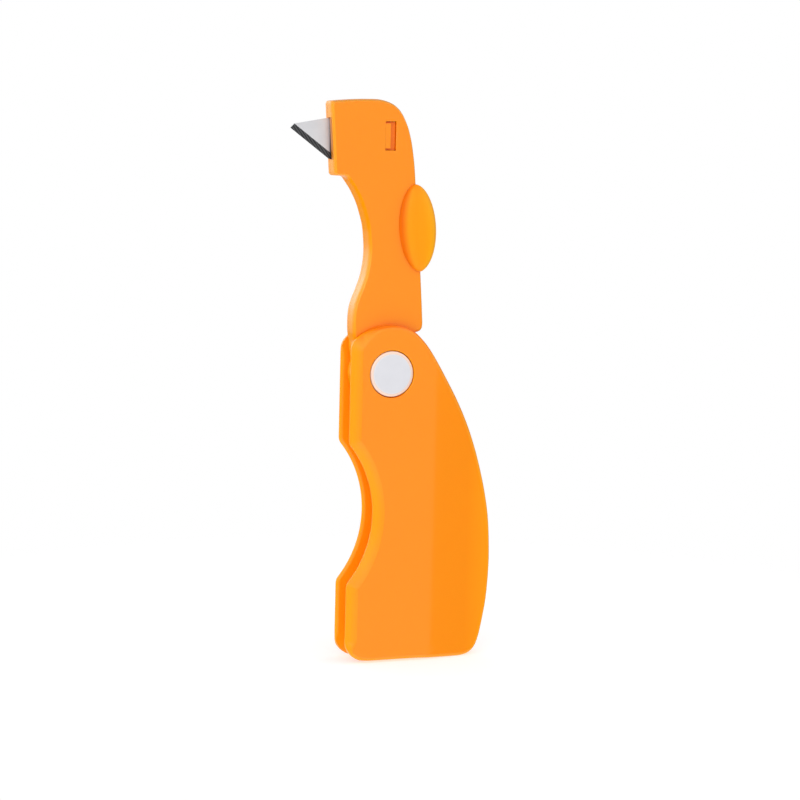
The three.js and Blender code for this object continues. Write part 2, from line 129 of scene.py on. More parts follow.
def chain(*paths):
    """One closed outline out of paths laid end to end, counter-clockwise."""
    pts = np.vstack(paths)
    keep = [0]
    for i in range(1, len(pts)):
        if np.linalg.norm(pts[i] - pts[keep[-1]]) > 0.06:
            keep.append(i)
    if np.linalg.norm(pts[keep[-1]] - pts[0]) < 0.06:
        keep.pop()
    pts = pts[keep]
    x, z = pts[:, 0], pts[:, 1]
    if np.sum(x * np.roll(z, -1) - np.roll(x, -1) * z) < 0:
        pts = pts[::-1]
    return pts


def rectangle(x0, x1, z0, z1):
    return [(x0, z0), (x1, z0), (x1, z1), (x0, z1)]


def stepped_loop(corners, step):
    """A polygon's outline with points at even steps."""
    return chain(*[line(a, b, step) for a, b in zip(corners, corners[1:] + corners[:1])])


def soften(pts, rounds, amount=0.5):
    """Takes the sharpness off an outline's corners without moving its long runs."""
    pts = pts.copy()
    for _ in range(rounds):
        pts += amount * 0.5 * (np.roll(pts, 1, 0) + np.roll(pts, -1, 0) - 2 * pts)
    return pts


def left_normals(tangents):
    t = tangents / np.linalg.norm(tangents, axis=1)[:, None]
    return np.stack([-t[:, 1], t[:, 0]], 1)


def inward_normals(outline):
    """Normals of a counter-clockwise outline."""
    return left_normals(np.roll(outline, -1, 0) - np.roll(outline, 1, 0))


def distance(points, outline):
    """Distance from each point to the closed outline."""
    start = outline
    run = np.roll(outline, -1, 0) - start
    length2 = np.maximum((run**2).sum(1), 1e-12)
    out = np.empty(len(points))
    for i in range(0, len(points), 2000):
        p = points[i : i + 2000, None, :]
        t = np.clip(((p - start) * run).sum(2) / length2, 0, 1)
        nearest = start + t[..., None] * run
        out[i : i + 2000] = np.sqrt(((p - nearest) ** 2).sum(2)).min(1)
    return out


def inside(points, outline):
    x, z = points[:, 0], points[:, 1]
    hit = np.zeros(len(points), bool)
    for (x0, z0), (x1, z1) in zip(outline, np.roll(outline, -1, 0)):
        if z0 != z1:
            hit ^= ((z0 > z) != (z1 > z)) & (x < (x1 - x0) * (z - z0) / (z1 - z0) + x0)
    return hit


def round_fall(d, width, depth):
    """How far a rounded edge has fallen at distance d from it: a quarter ellipse."""
    u = np.clip(1 - d / width, 0, 1)
    return depth * (1 - np.sqrt(np.maximum(0.0, 1 - u**2)))


def sink_fall(x, z, cx, cz, radius, size):
    """The rounded lip around a sunk disc."""
    return round_fall(np.maximum(np.hypot(x - cx, z - cz) - radius, 0), size, size)


# ------------------------------------------------------------------ meshes
def to_metres(piece):
    piece.data.transform(Matrix.Scale(MM, 4))
    piece.data.update()
    return piece


def mesh_object(name, verts, faces):
    placed = np.array(verts, float)
    placed[:, 1] += MID
    me = bpy.data.meshes.new(name)
    me.from_pydata([tuple(v) for v in placed], [], [tuple(int(i) for i in f) for f in faces])
    me.update()
    bm = bmesh.new()
    bm.from_mesh(me)
    bmesh.ops.recalc_face_normals(bm, faces=bm.faces)
    bm.to_mesh(me)
    bm.free()
    piece = bpy.data.objects.new(name, me)
    bpy.context.scene.collection.objects.link(piece)
    return piece


def skin_plate(name, outline, side, face, back, drop, rings, grid, extra):
    """A solid whose skin is side*(face - drop(x, z, distance to rim)) over the outline, down to the
    plane side*back.  The skin has points at the rings' distances from the rim, at the extra points
    and on a triangular grid."""
    normals = inward_normals(outline)
    rows = [outline]
    for d in rings:
        every = min(max(1, int(round(d / 0.9))), 3)
        row = (outline + normals * d)[::every]
        row = row[inside(row, outline)]
        rows.append(row[distance(row, outline) > 0.97 * d])
    last_ring = rings[-1] if rings else 0

    lo, hi = outline.min(0), outline.max(0)
    gx, gz = np.meshgrid(np.arange(lo[0], hi[0], grid), np.arange(lo[1], hi[1], grid * 0.866))
    gx = gx + (np.arange(gx.shape[0])[:, None] % 2) * grid * 0.5
    field = np.stack([gx.ravel(), gz.ravel()], 1)
    field = field[inside(field, outline)]
    field = field[distance(field, outline) > last_ring + 0.55 * grid]
    own = np.array(extra, float)
    own = own[inside(own, outline)]
    own = own[distance(own, outline) > last_ring + 0.2]
    gap = np.sqrt(((field[:, None, :] - own[None, :, :]) ** 2).sum(2)).min(1)
    rows += [own, field[gap > 0.35]]

    rim = [list(range(len(outline)))]
    co, _, tris, *_ = delaunay_2d_cdt([Vector(p) for p in np.vstack(rows)], [], rim, 1, 1e-5)
    co = np.array([tuple(c) for c in co])
    y = side * (face - drop(co[:, 0], co[:, 1], distance(co, outline)))
    top = np.stack([co[:, 0], y, co[:, 1]], 1)

    # walk the open edges in order; a dict keeps them in the order of the triangles
    edges = dict.fromkeys((a, b) for f in tris for a, b in zip(f, list(f[1:]) + [f[0]]))
    follow = {a: b for a, b in edges if (b, a) not in edges}
    first = next(iter(follow))
    loop = [first]
    while follow[loop[-1]] != first:
        loop.append(follow[loop[-1]])

    base, n = len(top), len(loop)
    bottom = top[loop].copy()
    bottom[:, 1] = side * back
    faces = [tuple(f) for f in tris]
    for i in range(n):
        j = (i + 1) % n
        faces.append((loop[i], loop[j], base + j, base + i))
    faces.append(tuple(base + i for i in range(n)))
    return mesh_object(name, np.vstack([top, bottom]), faces)


def prism_faces(n):
    return ([tuple(range(n)), tuple(range(2 * n - 1, n - 1, -1))]
            + [(i, (i + 1) % n, n + (i + 1) % n, n + i) for i in range(n)])


def prism(points, y0, y1, name="cutter"):
    pts = np.array(points, float)
    verts = [(x, y, z) for y in (y0, y1) for x, z in pts]
    return mesh_object(name, verts, prism_faces(len(pts)))


def box(x0, x1, y0, y1, z0, z1):
    return prism(rectangle(x0, x1, z0, z1), y0, y1)


def bar(x, z, radius, y0, y1, n=64):
    return prism(disc_points(x, z, radius, n), y0, y1)


def outward(side, a, b):
    """The range of y between depths a and b on one side of the middle, in rising order."""
    return (a, b) if side > 0 else (-b, -a)


def lathe(name, profile, x=0.0, z=0.0, n=96):
    """Turned about a Y axis through (x, z).  The profile of (radius, y) starts and ends on the
    axis, or closes on itself."""
    verts, rings = [], []
    for radius, y in profile:
        start = len(verts)
        if radius == 0:
            rings.append([start] * n)
            verts.append((x, y, z))
        else:
            rings.append(list(range(start, start + n)))
            verts += [(x + radius * math.cos(2 * math.pi * k / n), y,
                       z + radius * math.sin(2 * math.pi * k / n)) for k in range(n)]
    pairs = list(zip(rings, rings[1:]))
    if not (profile[0][0] == 0 and profile[-1][0] == 0):
        pairs.append((rings[-1], rings[0]))
    faces = []
    for a, b in pairs:
        for k in range(n):
            quad = [a[k], a[(k + 1) % n], b[(k + 1) % n], b[k]]
            face = [p for i, p in enumerate(quad) if p not in quad[:i]]
            if len(face) > 2:
                faces.append(tuple(face))
    return mesh_object(name, verts, faces)


def rounded(profile, radius, steps):
    """The profile of (radius, y, round it?) with its marked corners rounded."""
    out = []
    for i, (x, y, marked) in enumerate(profile):
        if not marked:
            out.append((x, y))
            continue
        corner = np.array((x, y))
        before = np.array(profile[i - 1][:2])
        after = np.array(profile[(i + 1) % len(profile)][:2])
        u = (before - corner) / np.linalg.norm(before - corner)
        w = (after - corner) / np.linalg.norm(after - corner)
        for k in range(steps + 1):
            s = k / steps
            p = corner + u * radius * (1 - s) ** 2 + w * radius * s**2
            out.append((float(p[0]), float(p[1])))
    return out


def is_solid(me):
    """True if every edge of the mesh has exactly two faces."""
    used = np.zeros(len(me.loops), int)
    me.loops.foreach_get("edge_index", used)
    return len(used) > 0 and bool((np.bincount(used, minlength=len(me.edges)) == 2).all())


def boolean(target, operation, tools):
    """Applies and removes each tool; the exact solver steps in where the other leaves a hole."""
    for tool in tools:
        for solver in ("MANIFOLD", "EXACT"):
            mod = target.modifiers.new("boolean", "BOOLEAN")
            mod.operation = operation
            mod.object = tool
            mod.solver = solver
            bpy.context.view_layer.update()
            dg = bpy.context.evaluated_depsgraph_get()
            me = bpy.data.meshes.new_from_object(target.evaluated_get(dg))
            target.modifiers.clear()
            if is_solid(me):
                break
        old = target.data
        target.data = me
        bpy.data.meshes.remove(old)
        tool_mesh = tool.data
        bpy.data.objects.remove(tool)
        bpy.data.meshes.remove(tool_mesh)


def cut(target, *tools):
    boolean(target, "DIFFERENCE", tools)


def join(target, *tools):
    boolean(target, "UNION", tools)


def soft_edges(piece, width, segments, min_deg):
    mod = piece.modifiers.new("edge", "BEVEL")
    mod.width = width * MM
    mod.segments = segments
    mod.limit_method = "ANGLE"
    mod.angle_limit = math.radians(min_deg)


def finish(piece, sharp_deg=30.0):
    """Brings a piece to metres, cleans it and shades it smooth up to the sharp angle."""
    to_metres(piece)
    bm = bmesh.new()
    bm.from_mesh(piece.data)
    bmesh.ops.remove_doubles(bm, verts=bm.verts, dist=2e-7)
    bmesh.ops.dissolve_degenerate(bm, dist=1e-7, edges=bm.edges)
    bmesh.ops.recalc_face_normals(bm, faces=bm.faces)
    for f in bm.faces:
        f.smooth = True
    limit = math.radians(sharp_deg)
    for e in bm.edges:
        e.smooth = len(e.link_faces) == 2 and e.calc_face_angle(0.0) < limit
    bm.to_mesh(piece.data)
    bm.free()
    mod = piece.modifiers.new("weighted", "WEIGHTED_NORMAL")
    mod.keep_sharp = True
    mod.weight = 60
    return piece


# ------------------------------------------------------------------ handle outline (x, z)
FOOT_Z = -78.65  # lowest point of the handle
FRONT_X = -11.25  # the straight runs of the front edge
SCALLOP = (-33.1, -37.9, 29.0)  # centre x, z and radius of the hollow in the front edge
WALL = 2.2

BACK_EDGE = catmull([
    (7.4, 10.6), (9.0, 9.0), (10.45, 7.35), (12.8, 4.0), (15.9, -0.9), (19.85, -7.5),
    (23.2, -14.15), (25.85, -20.8), (28.0, -27.6), (29.7, -34.3), (30.85, -41.0), (31.4, -49.0),
    (31.4, -55.5), (30.85, -62.9), (30.0, -67.9), (29.0, -72.6)], 0.6)
FOOT_BACK = catmull([(29.0, -72.6), (27.7, -76.1), (25.6, -78.05), (22.6, FOOT_Z)], 0.4)
FOOT_MIDDLE, FOOT_FRONT_END = (8, -78.15), (-4.6, -78.1)
FOOT_FRONT = catmull([
    FOOT_FRONT_END, (-7.6, -77.75), (-9.7, -76.4), (-10.9, -74.6), (FRONT_X, -72.4)], 0.4)
TOP_EDGE = catmull([
    (FRONT_X, 6.6), (-11.0, 7.8), (-10.1, 9.1), (-8.9, 10.15), (-7.4, 11.05), (-5.0, 12.1),
    (-2.5, 12.75), (0.4, 13.0), (3.5, 12.6), (5.7, 11.75), (7.4, 10.6)], 0.45)


def make_handle_outline():
    cx, cz, radius = SCALLOP
    half = math.degrees(math.acos((FRONT_X - cx) / radius))
    rise = radius * math.sin(math.radians(half))
    outline = chain(
        TOP_EDGE,
        BACK_EDGE,
        FOOT_BACK,
        line((22.6, FOOT_Z), FOOT_MIDDLE),
        line(FOOT_MIDDLE, FOOT_FRONT_END),
        FOOT_FRONT,
        line((FRONT_X, -72.4), (FRONT_X, cz - rise)),
        arc(cx, cz, radius, -half, half),
        line((FRONT_X, cz + rise), (FRONT_X, 6.6)),
    )
    return soften(outline, 5)


def make_cavity_outline():
    """The space between the shells: open to the front, a wall's thickness inside back and foot."""
    path = resample(np.vstack([BACK_EDGE, FOOT_BACK[1:], [FOOT_MIDDLE, FOOT_FRONT_END]]), 1.2)
    inner = path - left_normals(np.gradient(path, axis=0)) * WALL
    inner = inner[np.arctan2(inner[:, 1], inner[:, 0]) < math.radians(STOP_DEG - 2.2)]
    stop = STOP_DEG - 1.0
    return ([(-40, 40), polar(30, stop), polar(10.75, stop)]
            + [tuple(p) for p in inner] + [(-4.6, -90), (-40, -90)])


HANDLE_OUTLINE = make_handle_outline()
CAVITY_OUTLINE = make_cavity_outline()

# ------------------------------------------------------------------ handle shells
HANDLE_RINGS = [0.015, 0.06, 0.14, 0.26, 0.42, 0.62, 0.88, 1.2, 1.6, 2.1, 2.5, 2.75, 2.92, 3.05,
                3.2, 3.5]
CREASE_OFFSETS = (-2.2, -1.3, -0.75, -0.45, -0.22, 0.0, 0.22, 0.45, 0.75, 1.3, 2.2)
MOUTH_RINGS = (-0.5, -0.05, 0.03, 0.1, 0.2, 0.35, 0.55, 0.8, 1.1, 1.45, 1.8, 2.0)
BOSS_R = 2.9
SCREW_CORE_R, SCREW_CLEARANCE_R = 1.3, 1.6  # holes in the near and the far shell
SCREW_SINK_DEPTH = 2.3
PIVOT_BORE_R = 3.58
FAR_OUT = 12  # cutters reach this depth, clear of the outer faces


def handle_drop(side):
    def drop(x, z, d):
        # the rim is broad along the front, narrow over the top, down the back and along the foot
        back = 1 / (1 + np.exp(-(x - 9.0) / 1.6))
        over = np.clip((x + 8.0) / 4.5, 0, 1) * np.clip((z - 1.0) / 4.0, 0, 1)
        foot = np.clip((-z - 72.5) / 3.0, 0, 1)
        k = np.maximum(np.maximum(back, over), foot)
        width = 3.1 * (1 - k) + 1.3 * k
        depth = 1.65 * (1 - k) + 1.0 * k
        # along the front the rim is a plain slope that only rolls over at its edge
        u = np.clip(1 - d / width, 0, 1)
        slope = np.sqrt(u * u + 0.15**2) - 0.15
        fall = (depth * 0.78 * (1 - k) * slope
                + round_fall(d, width, depth * (1 - 0.72 * (1 - k))))
        # the sloping face behind BEVEL_X, eased in over about half a millimetre
        s = x - BEVEL_X
        fall = fall + BEVEL_TAN * 0.5 * (s + np.sqrt(s * s + 0.5**2)) * (x > BEVEL_X - 12)
        fall = fall + sink_fall(x, z, 0, 0, PIVOT_SINK_R, 0.22)
        if side > 0:
            for _, sx, sz in HANDLE_SCREWS:
                fall = fall + sink_fall(x, z, sx, sz, HANDLE_SINK_R, 0.2)
        return fall

    return drop


def handle_points(side):
    """Skin points along the crease at BEVEL_X and around the sunk discs."""
    out = [(BEVEL_X + dx, z) for dx in CREASE_OFFSETS for z in np.arange(-80, 14, 1.4)]
    out += disc_rings(0, 0, PIVOT_SINK_R, SINK_LIP + (0.23, 0.45), 96)
    if side > 0:
        for _, x, z in HANDLE_SCREWS:
            out += disc_rings(x, z, HANDLE_SINK_R, SINK_LIP + (0.21, 0.4), 48)
    return out


def mouth_cutter(side):
    """Takes the inner edge off a shell along the open front of the slot."""
    normals = inward_normals(HANDLE_OUTLINE)
    points = [tuple(p) for d in MOUTH_RINGS for p in (HANDLE_OUTLINE + normals * d)[::2]]

    def drop(x, z, _):
        p = np.stack([x, z], 1)
        d = np.where(inside(p, HANDLE_OUTLINE), distance(p, HANDLE_OUTLINE), 0.0)
        upper_fade = np.clip((7.5 - z) / 3.0, 0, 1)
        lower_fade = np.clip((z + 74) / 3.0, 0, 1)
        return 0.06 - round_fall(d, 1.8, 0.66) * upper_fade * lower_fade

    region = stepped_loop(rectangle(-15, 4, -75, 8.5), 2.0)
    return skin_plate("cutter", region, side, SLOT_HALF, -1.0, drop, [], 2.4, points)


def cavity_cutter(side):
    """The slot's half in one shell, with a floor that slopes like the face and room for bosses."""
    cavity = prism(CAVITY_OUTLINE, *outward(side, -1.0, SLOT_HALF))
    wedge_x = BEVEL_X + 1.6
    corners = [(wedge_x, -140), (60, -140), (60, 60), (wedge_x, 60)]
    verts = [(x, side * (SLOT_HALF - (x - wedge_x) * BEVEL_TAN), z) for x, z in corners]
    verts += [(x, side * 20, z) for x, z in corners]
    faces = [(0, 1, 2, 3), (7, 6, 5, 4), (0, 4, 5, 1), (1, 5, 6, 2), (2, 6, 7, 3), (3, 7, 4, 0)]
    cut(cavity, mesh_object("cutter", verts, faces))
    for _, x, z in HANDLE_SCREWS:
        cut(cavity, bar(x, z, BOSS_R, *outward(side, -3, FAR_OUT), n=48))
    return cavity


def handle_shell(name, side):
    shell = skin_plate(name, HANDLE_OUTLINE, side, HANDLE_HALF, 0.05, handle_drop(side),
                       HANDLE_RINGS, 1.7, handle_points(side))
    cut(shell, cavity_cutter(side), mouth_cutter(side))
    for _, x, z in HANDLE_SCREWS:
        if side < 0:
            cut(shell, bar(x, z, SCREW_CORE_R, -3.0, 1, n=32))
        else:
            floor_y = HANDLE_HALF - max(0.0, x - BEVEL_X) * BEVEL_TAN - SCREW_SINK_DEPTH
            cut(shell, bar(x, z, SCREW_CLEARANCE_R, -1, FAR_OUT, n=32),
                bar(x, z, HANDLE_SINK_R, floor_y, FAR_OUT, n=48))
    for x, z, radius, half in (STOP_PIN, ANCHOR_PIN):
        cut(shell, bar(x, z, radius + 0.06, *outward(side, -0.5, half + 0.1), n=32))
    sink = outward(side, HANDLE_HALF - PIVOT_SINK_DEPTH - 0.1, FAR_OUT)
    cut(shell, bar(0, 0, PIVOT_BORE_R, *outward(side, -1, FAR_OUT)),
        bar(0, 0, PIVOT_SINK_R, *sink, n=96))
    return finish(shell, 28.0)


# ------------------------------------------------------------------ arm outline (x, z)
TANG_R = 9.86
NOTCH_DEPTH, NOTCH_HALF_DEG = 0.7, 5.2

HEAD_TOP = catmull([(-17.82, 72.0), (-14.0, 72.4), (-9.8, 72.7), (-6.4, 72.8)], 0.5)
HEAD_BACK = catmull([
    (-6.4, 72.8), (-4.0, 72.75), (-1.8, 72.3), (0.2, 71.45), (1.85, 70.05), (3.0, 68.4),
    (3.8, 66.8), (4.5, 65.1), (5.35, 62.0), (5.95, 58.8), (6.4, 55.6), (6.7, 52.5)], 0.5)
ARM_BACK = catmull([
    (6.7, 52.5), (7.25, 46.0), (7.9, 38.7), (8.65, 30.0), (9.15, 23.6), (9.6, 17.2),
    (9.85, 13.3)], 0.6)
ARM_CORNER = catmull([(9.85, 13.3), (9.65, 11.95), (8.9, 11.1), (7.75, 10.8)], 0.25)
NECK_FRONT = catmull([
    (-9.85, 6.4), (-9.82, 8.8), (-10.2, 10.4), (-10.35, 13.6), (-10.15, 16.9), (-9.45, 19.6),
    (-8.15, 22.8), (-7.05, 26.0), (-6.35, 29.7), (-6.15, 33.0), (-6.35, 36.2), (-6.75, 39.4),
    (-7.65, 42.6), (-8.8, 45.75), (-10.5, 48.9), (-11.7, 50.6), (-13.0, 52.35)], 0.5)


def tang_arc():
    """The round lower end of the arm, with a notch for the spring at each end of its turn."""
    out = []
    for deg in np.arange(STOP_DEG, -199.01, -1.3):
        off = min(abs(deg - DETENT_DEG), abs(deg - DETENT_DEG + FOLD_DEG))
        depth = 0.0
        if off < NOTCH_HALF_DEG:
            depth = NOTCH_DEPTH * math.cos(off / NOTCH_HALF_DEG * math.pi / 2)
        out.append(polar(TANG_R - depth, deg))
    return np.array(out)


ARM_OUTLINE = soften(chain(
    HEAD_TOP, HEAD_BACK, ARM_BACK, ARM_CORNER, [polar(12.9, STOP_DEG)], tang_arc(), NECK_FRONT,
    line((-13.0, 52.35), (-16.45, 52.5)), line((-16.45, 52.5), (-17.82, 72.0))), 2, 0.35)

# ------------------------------------------------------------------ arm halves and thumb pad
ARM_RINGS = [0.004, 0.016, 0.04, 0.08, 0.14, 0.22, 0.33, 0.47, 0.64, 0.84]
POCKET_X = (-30, 1.6)  # the blade holder's pocket, open to the front
POCKET_Y = -2.05
POCKET_Z = (56.7, 67.6)
WINDOW = (-2.45, 0.6, 59.4, 67.0)  # x0, x1, z0, z1 of the latch's opening in the near face
# (x, z) corners of two recesses in the near half's inner face
RECESSES = (
    [(-3.9, 25.2), (4.9, 25.2), (4.6, 33.6), (-3.4, 33.6)],
    [(-3.3, 43.8), (3.6, 43.8), (3.3, 48.6), (-5.6, 48.6)],
)
PAD_X, PAD_Z = 7.8, 38.65  # origin of the pad's leaning frame
PAD_BODY_X = 7.4
PAD_LEAN = -math.radians(4.6)


def lean(x, z, origin_x):
    """From the pad's leaning frame to the arm's."""
    c, s = math.cos(PAD_LEAN), math.sin(PAD_LEAN)
    return origin_x + x * c + z * s, PAD_Z - x * s + z * c


def leaning_box(x0, x1, y0, y1, z0, z1):
    return prism([lean(x, z, PAD_X) for x, z in rectangle(x0, x1, z0, z1)], y0, y1)


def window_distance(x, z):
    x0, x1, z0, z1 = WINDOW
    # the factor of 9 keeps the rounding away from the front edge
    dx = np.maximum(x - x1, 0) + 9 * (x < x0)
    dz = np.maximum(np.maximum(z0 - z, z - z1), 0)
    return np.hypot(dx, dz)


def arm_drop(side):
    def drop(x, z, d):
        fall = round_fall(d, 0.7, 1.6)  # the side walls lean in towards the outer faces
        if side < 0:
            return fall + round_fall(window_distance(x, z), 0.14, 0.14)
        for _, sx, sz in ARM_SCREWS:
            fall = fall + sink_fall(x, z, sx, sz, ARM_SINK_R, 0.15)
        return fall

    return drop


def arm_points(side):
    """Skin points around the window on the near half and the screws on the far one."""
    offsets = SINK_LIP + (0.3,)
    out = []
    if side < 0:
        x0, x1, z0, z1 = WINDOW
        for o in offsets:
            loop = stepped_loop(rectangle(x0 - o, x1 + o, z0 - o, z1 + o), 0.3)
            out += [tuple(p) for p in loop]
    else:
        for _, x, z in ARM_SCREWS:
            out += disc_rings(x, z, ARM_SINK_R, offsets, 40)
    return out


def arm_shell(name, side):
    seam = ARM_SEAM + SEAM_GAP_HALF * side
    shell = skin_plate(name, ARM_OUTLINE, side, ARM_HALF, seam * side, arm_drop(side),
                       ARM_RINGS, 1.9, arm_points(side))
    cut(shell, bar(0, 0, 3.6, -10, 10), bar(0, 0, 6.2, *outward(side, 2.5, 10), n=96),
        leaning_box(-2.6, 1.2, -1.35, 1.35, -4.2, 4.2))
    if side < 0:
        cut(shell, box(*POCKET_X, POCKET_Y, 2, *POCKET_Z))
        cut(shell, box(*WINDOW[:2], -6, -1, *WINDOW[2:]))
        for corners in RECESSES:
            cut(shell, prism(corners, -1.2, 2))
        for _, x, z in ARM_SCREWS:
            cut(shell, bar(x, z, 0.85, -1.9, 2, n=24))
    else:
        for _, x, z in ARM_SCREWS:
            cut(shell, bar(x, z, 1.1, 0, 10, n=24), bar(x, z, ARM_SINK_R, 1.75, 10, n=40))
    return finish(shell, 28.0)


def thumb_pad(name):
    """An oval cushion that straddles the arm's back edge and tapers at both ends."""
    around, rows = 112, 72
    power = 2.9  # of the superellipse in each cross-section
    half_x, half_y, half_z = 5.65, 5.7, 11.7
    end_half_y = 3.02
    pole_gap = 2.2  # degrees left open, and capped, at each end
    verts = []
    for j in range(rows + 1):
        phi = math.radians(pole_gap + (180 - 2 * pole_gap) * j / rows)
        taper = math.sin(phi)
        rx = half_x * taper
        ry = end_half_y + (half_y - end_half_y) * taper**0.9
        z = math.cos(phi) * half_z + 0.25
        for i in range(around):
            th = 2 * math.pi * (i + 0.5) / around
            ux, uy = (math.copysign(abs(u) ** (2 / power), u) for u in (math.cos(th), math.sin(th)))
            px, pz = lean(ux * rx, z, PAD_BODY_X)
            verts.append((px, uy * ry, pz))
    faces = []
    for j in range(rows):
        for i in range(around):
            k = (i + 1) % around
            faces.append((j * around + i, j * around + k, (j + 1) * around + k,
                          (j + 1) * around + i))
    faces.append(tuple(range(around)))
    faces.append(tuple(rows * around + i for i in reversed(range(around))))
    pad = mesh_object(name, verts, faces)
    clear = ARM_HALF + 0.04
    cut(pad, leaning_box(-20, 0.18, -clear, clear, -20, 20))
    join(pad, leaning_box(-2.35, 1.4, -1.2, 1.2, -4.0, 4.0))  # the block that enters the arm
    return finish(pad, 40)


# ------------------------------------------------------------------ blade group
BLADE_Y = (0.1, 0.7)
BLADE_BEVEL = 1.5  # width of the ground bevel
EDGE_LAND_HALF = 0.04
SHANK_X = -6.0
SHANK_Z = (56.85, 67.45)
BLADE_TIP, BLADE_HEEL = np.array((-28.0, 64.7)), np.array((-17.2, SHANK_Z[0]))  # cutting edge


def blade(name):
    """A flat strip whose slanting lower front edge is ground from both sides."""
    along = (BLADE_HEEL - BLADE_TIP) / np.linalg.norm(BLADE_HEEL - BLADE_TIP)
    slant = math.atan2(-along[1], along[0])
    # the bevel's upper line runs from the tip's upper corner to the shank's lower edge
    bevel_end = BLADE_HEEL + np.array((BLADE_BEVEL / math.sin(slant), 0.0))
    flat = [(-27.0, 65.8), bevel_end, (SHANK_X, SHANK_Z[0]), (SHANK_X, SHANK_Z[1]),
            (-18.0, SHANK_Z[1])]
    verts = []

    def add(point, y):
        verts.append((float(point[0]), y, float(point[1])))
        return len(verts) - 1

    y0, y1 = BLADE_Y
    middle = (y0 + y1) / 2
    near = [add(p, y0) for p in flat]
    far = [add(p, y1) for p in flat]
    near_tip, near_heel = (add(p, middle - EDGE_LAND_HALF) for p in (BLADE_TIP, BLADE_HEEL))
    far_tip, far_heel = (add(p, middle + EDGE_LAND_HALF) for p in (BLADE_TIP, BLADE_HEEL))
    faces = [
        tuple(near),
        tuple(reversed(far)),
        (near[0], near_tip, near_heel, near[1]),
        (far[1], far_heel, far_tip, far[0]),
        (near_tip, far_tip, far_heel, near_heel),
        (near[0], far[0], far_tip, near_tip),
        (near[1], near_heel, far_heel, far[1]),
    ]
    for i in range(1, len(flat)):
        j = (i + 1) % len(flat)
        faces.append((near[i], near[j], far[j], far[i]))
    return to_metres(mesh_object(name, verts, faces))


def blade_holder(name):
    holder = box(-19, -1.0, -1.97, 0.02, POCKET_Z[0] + 0.08, POCKET_Z[1] - 0.08)
    holder.name = name
    cut(holder, box(-9.55, 5, -5, 5, 59.85, 66.55))
    # the slanting front end, then a step back in its far part
    cut(holder, prism([(-30, 80), (-30, 50), (-16.24, 50), (-18.34, 80)], -5, 5))
    cut(holder, prism([(-30, 80), (-30, 50), (-13.8, 50), (-14.9, 80)], -0.7, 5))
    for x, z in ((-14.2, 61.4), (-11.2, 65.2)):
        join(holder, bar(x, z, 0.95, -0.5, 0.62, n=40))
    soft_edges(holder, width=0.12, segments=3, min_deg=50)
    return finish(holder, 40)


def latch(name):
    """A thin tongue with a round front end, and a raised block at its back."""
    nose_x, nose_y, nose_r = -8.9, -1.45, 0.5
    turns = [math.pi * i / 12 for i in range(13)]
    section = [(nose_x - nose_r * math.sin(t), nose_y + nose_r * math.cos(t)) for t in turns]
    section += [(-2.42, -1.97), (-2.42, -2.3), (0.5, -2.3), (0.5, -1.72), (-0.9, -1.6),
                (-1.1, -0.95)]  # x, y
    verts = [(x, y, z) for z in (59.47, 66.93) for x, y in section]
    tongue = mesh_object(name, verts, prism_faces(len(section)))
    join(tongue, box(-2.43, -1.0, -2.99, -1.9, 59.9, 66.5))
    return finish(tongue)


# ------------------------------------------------------------------ pivot, screws, pins, spring
def cap_rim(y, inward):
    """A cap's flat, then a slight step down into a rounded rim; (radius, y)."""
    out = [(5.1, y), (5.2, y + inward * 0.015), (5.27, y + inward * 0.05),
           (5.34, y + inward * 0.055)]
    for k in range(11):
        t = math.radians(9 * k)
        out.append((5.45 + 0.7 * math.sin(t), y + inward * (0.055 + 0.42 * (1 - math.cos(t)))))
    return out


def pivot_barrel(name):
    y = -HANDLE_HALF
    seat = y + PIVOT_SINK_DEPTH
    profile = [(0, y)] + cap_rim(y, 1)
    profile += [(CAP_R, seat), (3.5, seat), (3.5, 4.0), (2.05, 4.0), (2.05, -3.2), (0, -3.2)]
    return finish(lathe(name, profile, n=128))


def pivot_screw(name):
    y = HANDLE_HALF
    seat = y - PIVOT_SINK_DEPTH
    shank = 1.95
    profile = [(0, -2.6), (1.65, -2.6), (shank, -2.2)]
    for k in range(12):  # rolled thread crests
        crest = -1.9 + k * 0.42
        profile += [(shank, crest), (1.78, crest + 0.21)]
    profile += [(shank, 3.2), (shank, seat), (CAP_R, seat), *reversed(cap_rim(y, -1))]
    profile += [(2.75, y), (2.62, y - 0.12), (2.5, y - 0.13), (0, y - 0.13)]
    screw = lathe(name, profile, n=128)
    cut(screw, bar(0, 0, 2.3, y - 1.0, y + 2, n=6))
    return finish(screw)


def pan_screw(name, x, z, head_y, head_r, head_t, shank_r, tip_y, slot):
    """A threaded screw with a domed head at head_y and a cross recess of half width slot."""
    seat = head_y - head_t
    profile = [(0, tip_y), (shank_r * 0.35, tip_y), (shank_r, tip_y + 0.7)]
    pitch = shank_r * 0.62
    y = tip_y + 0.75
    while y < seat - 0.4 - pitch:
        profile += [(shank_r, y), (shank_r * 0.82, y + pitch * 0.5)]
        y += pitch
    profile += [(shank_r * 0.9, y), (shank_r * 0.9, seat), (head_r, seat)]
    dome = head_t * 0.62
    for k in range(9):
        t = math.radians(90 * k / 8)
        profile.append((head_r * (0.62 + 0.38 * math.cos(t)), head_y - dome + dome * math.sin(t)))
    profile.append((0, head_y))
    screw = lathe(name, profile, x, z, n=56)
    s, r = slot, head_r * 0.58
    cross = [(-r, -s), (-s, -s), (-s, -r), (s, -r), (s, -s), (r, -s),
             (r, s), (s, s), (s, r), (-s, r), (-s, s), (-r, s)]
    cut(screw, prism([(x + dx, z + dz) for dx, dz in cross], head_y - dome, head_y + 2))
    return finish(screw)


def pin(name, x, z, radius, half):
    corners = [(0, -half, False), (radius, -half, True), (radius, half, True), (0, half, False)]
    return finish(lathe(name, rounded(corners, 0.25, 5), x, z, n=48))


